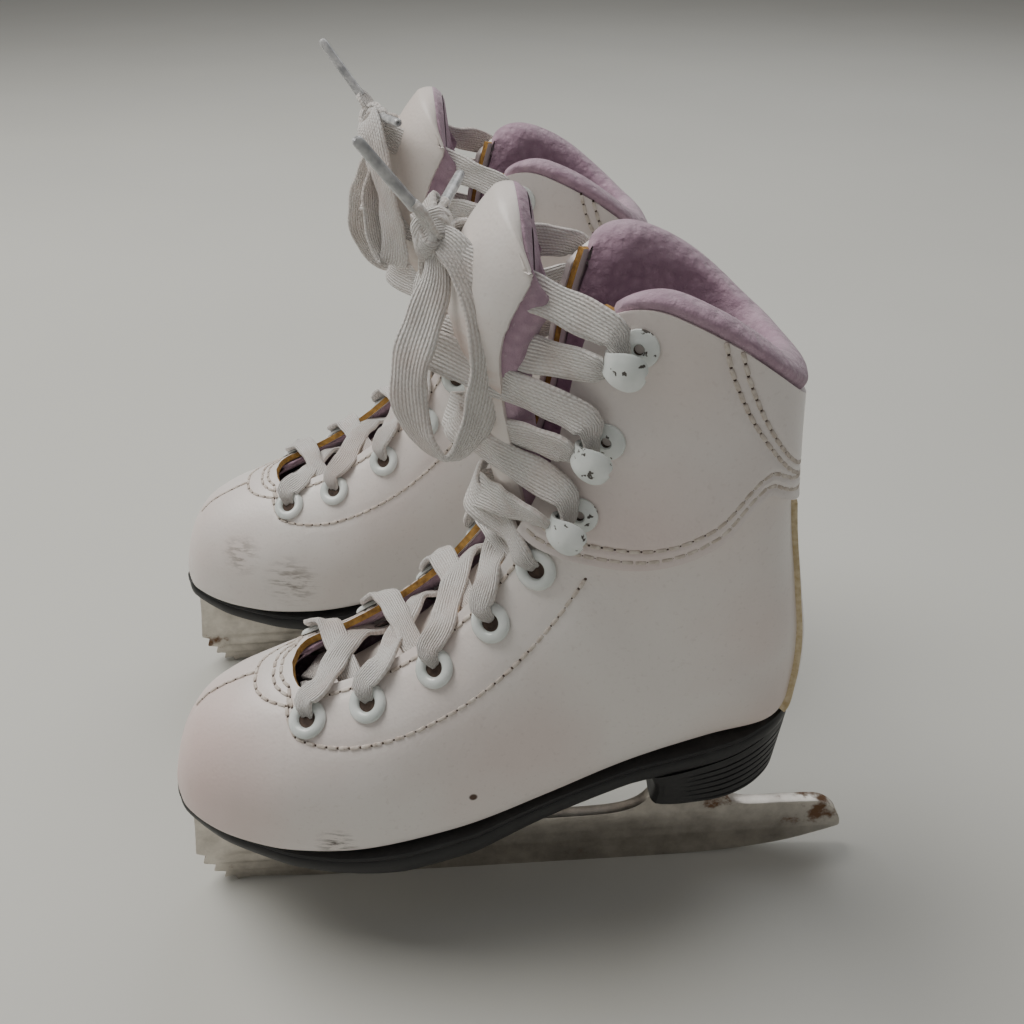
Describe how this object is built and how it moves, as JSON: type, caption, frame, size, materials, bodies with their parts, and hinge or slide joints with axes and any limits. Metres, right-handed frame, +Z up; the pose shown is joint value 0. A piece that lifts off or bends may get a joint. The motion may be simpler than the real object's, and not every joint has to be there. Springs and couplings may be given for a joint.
{
  "type": "pair of figure skates",
  "caption": "Lace-up ankle boots for ice skating with padded lilac lining, speed hooks, heels and steel blades with toe picks.",
  "frame": {"origin": "middle of the pair's footprint on the ground, under the blades", "axes": "+Z up, toes towards -X and heels towards +X, left skate at -Y and right skate at +Y"},
  "size_m": [0.209, 0.1686, 0.209],
  "materials": {
    "white_leather": "smooth coated synthetic leather, satin",
    "lilac_fleece": "brushed fleece over foam",
    "insole_board": "cloth-covered board",
    "white_enamel": "white enamel, gloss",
    "black_rubber": "moulded, satin",
    "blade_steel": "nickel-plated, lightly worn",
    "cotton_lace": "flat woven cotton, slightly fuzzy",
    "clear_aglet": "clear film"
  },
  "bodies": {
    "left_skate": {"left_aglet_far": "clear_aglet", "left_aglet_near": "clear_aglet", "left_backstay": "white_leather", "left_blade": "blade_steel", "left_bow": "cotton_lace", "left_cuff": "white_leather", "left_eyelet_stay_inner": "white_enamel", "left_eyelet_stay_outer": "white_enamel", "left_heel": "black_rubber", "left_heel_plate": "blade_steel", "left_heel_screw_inner": "blade_steel", "left_heel_screw_outer": "blade_steel", "left_hook_inner_1": "white_enamel", "left_hook_inner_2": "white_enamel", "left_hook_inner_3": "white_enamel", "left_hook_outer_1": "white_enamel", "left_hook_outer_2": "white_enamel", "left_hook_outer_3": "white_enamel", "left_insole": "insole_board", "left_lacing": "cotton_lace", "left_lining": "lilac_fleece", "left_lower_shell": "white_leather", "left_outsole": "black_rubber", "left_sole_plate": "blade_steel", "left_sole_screw_inner": "blade_steel", "left_sole_screw_outer": "blade_steel"},
    "left_tongue_body": {"left_tongue": "white_leather", "left_tongue_lining": "lilac_fleece"},
    "right_skate": {"right_aglet_far": "clear_aglet", "right_aglet_near": "clear_aglet", "right_backstay": "white_leather", "right_blade": "blade_steel", "right_bow": "cotton_lace", "right_cuff": "white_leather", "right_eyelet_stay_inner": "white_enamel", "right_eyelet_stay_outer": "white_enamel", "right_heel": "black_rubber", "right_heel_plate": "blade_steel", "right_heel_screw_inner": "blade_steel", "right_heel_screw_outer": "blade_steel", "right_hook_inner_1": "white_enamel", "right_hook_inner_2": "white_enamel", "right_hook_inner_3": "white_enamel", "right_hook_outer_1": "white_enamel", "right_hook_outer_2": "white_enamel", "right_hook_outer_3": "white_enamel", "right_insole": "insole_board", "right_lacing": "cotton_lace", "right_lining": "lilac_fleece", "right_lower_shell": "white_leather", "right_outsole": "black_rubber", "right_sole_plate": "blade_steel", "right_sole_screw_inner": "blade_steel", "right_sole_screw_outer": "blade_steel"},
    "right_tongue_body": {"right_tongue": "white_leather", "right_tongue_lining": "lilac_fleece"}
  },
  "joints": [
    {"name": "right_skate_lift", "type": "slide", "parent": "left_skate", "child": "right_skate", "axis": [0, 0, 1], "range_m": [0, 0.3]},
    {"name": "left_tongue_hinge", "type": "hinge", "parent": "left_skate", "child": "left_tongue_body", "pos_m": [-0.04128, -0.05487, 0.067], "axis": [-0.0732, 0.9973, 0], "range_deg": [0, 6], "stiffness_Nm_per_rad": 0.3},
    {"name": "right_tongue_hinge", "type": "hinge", "parent": "right_skate", "child": "right_tongue_body", "pos_m": [-0.06378, 0.04431, 0.067], "axis": [-0.1028, 0.9947, 0], "range_deg": [0, 6], "stiffness_Nm_per_rad": 0.3}
  ]
}
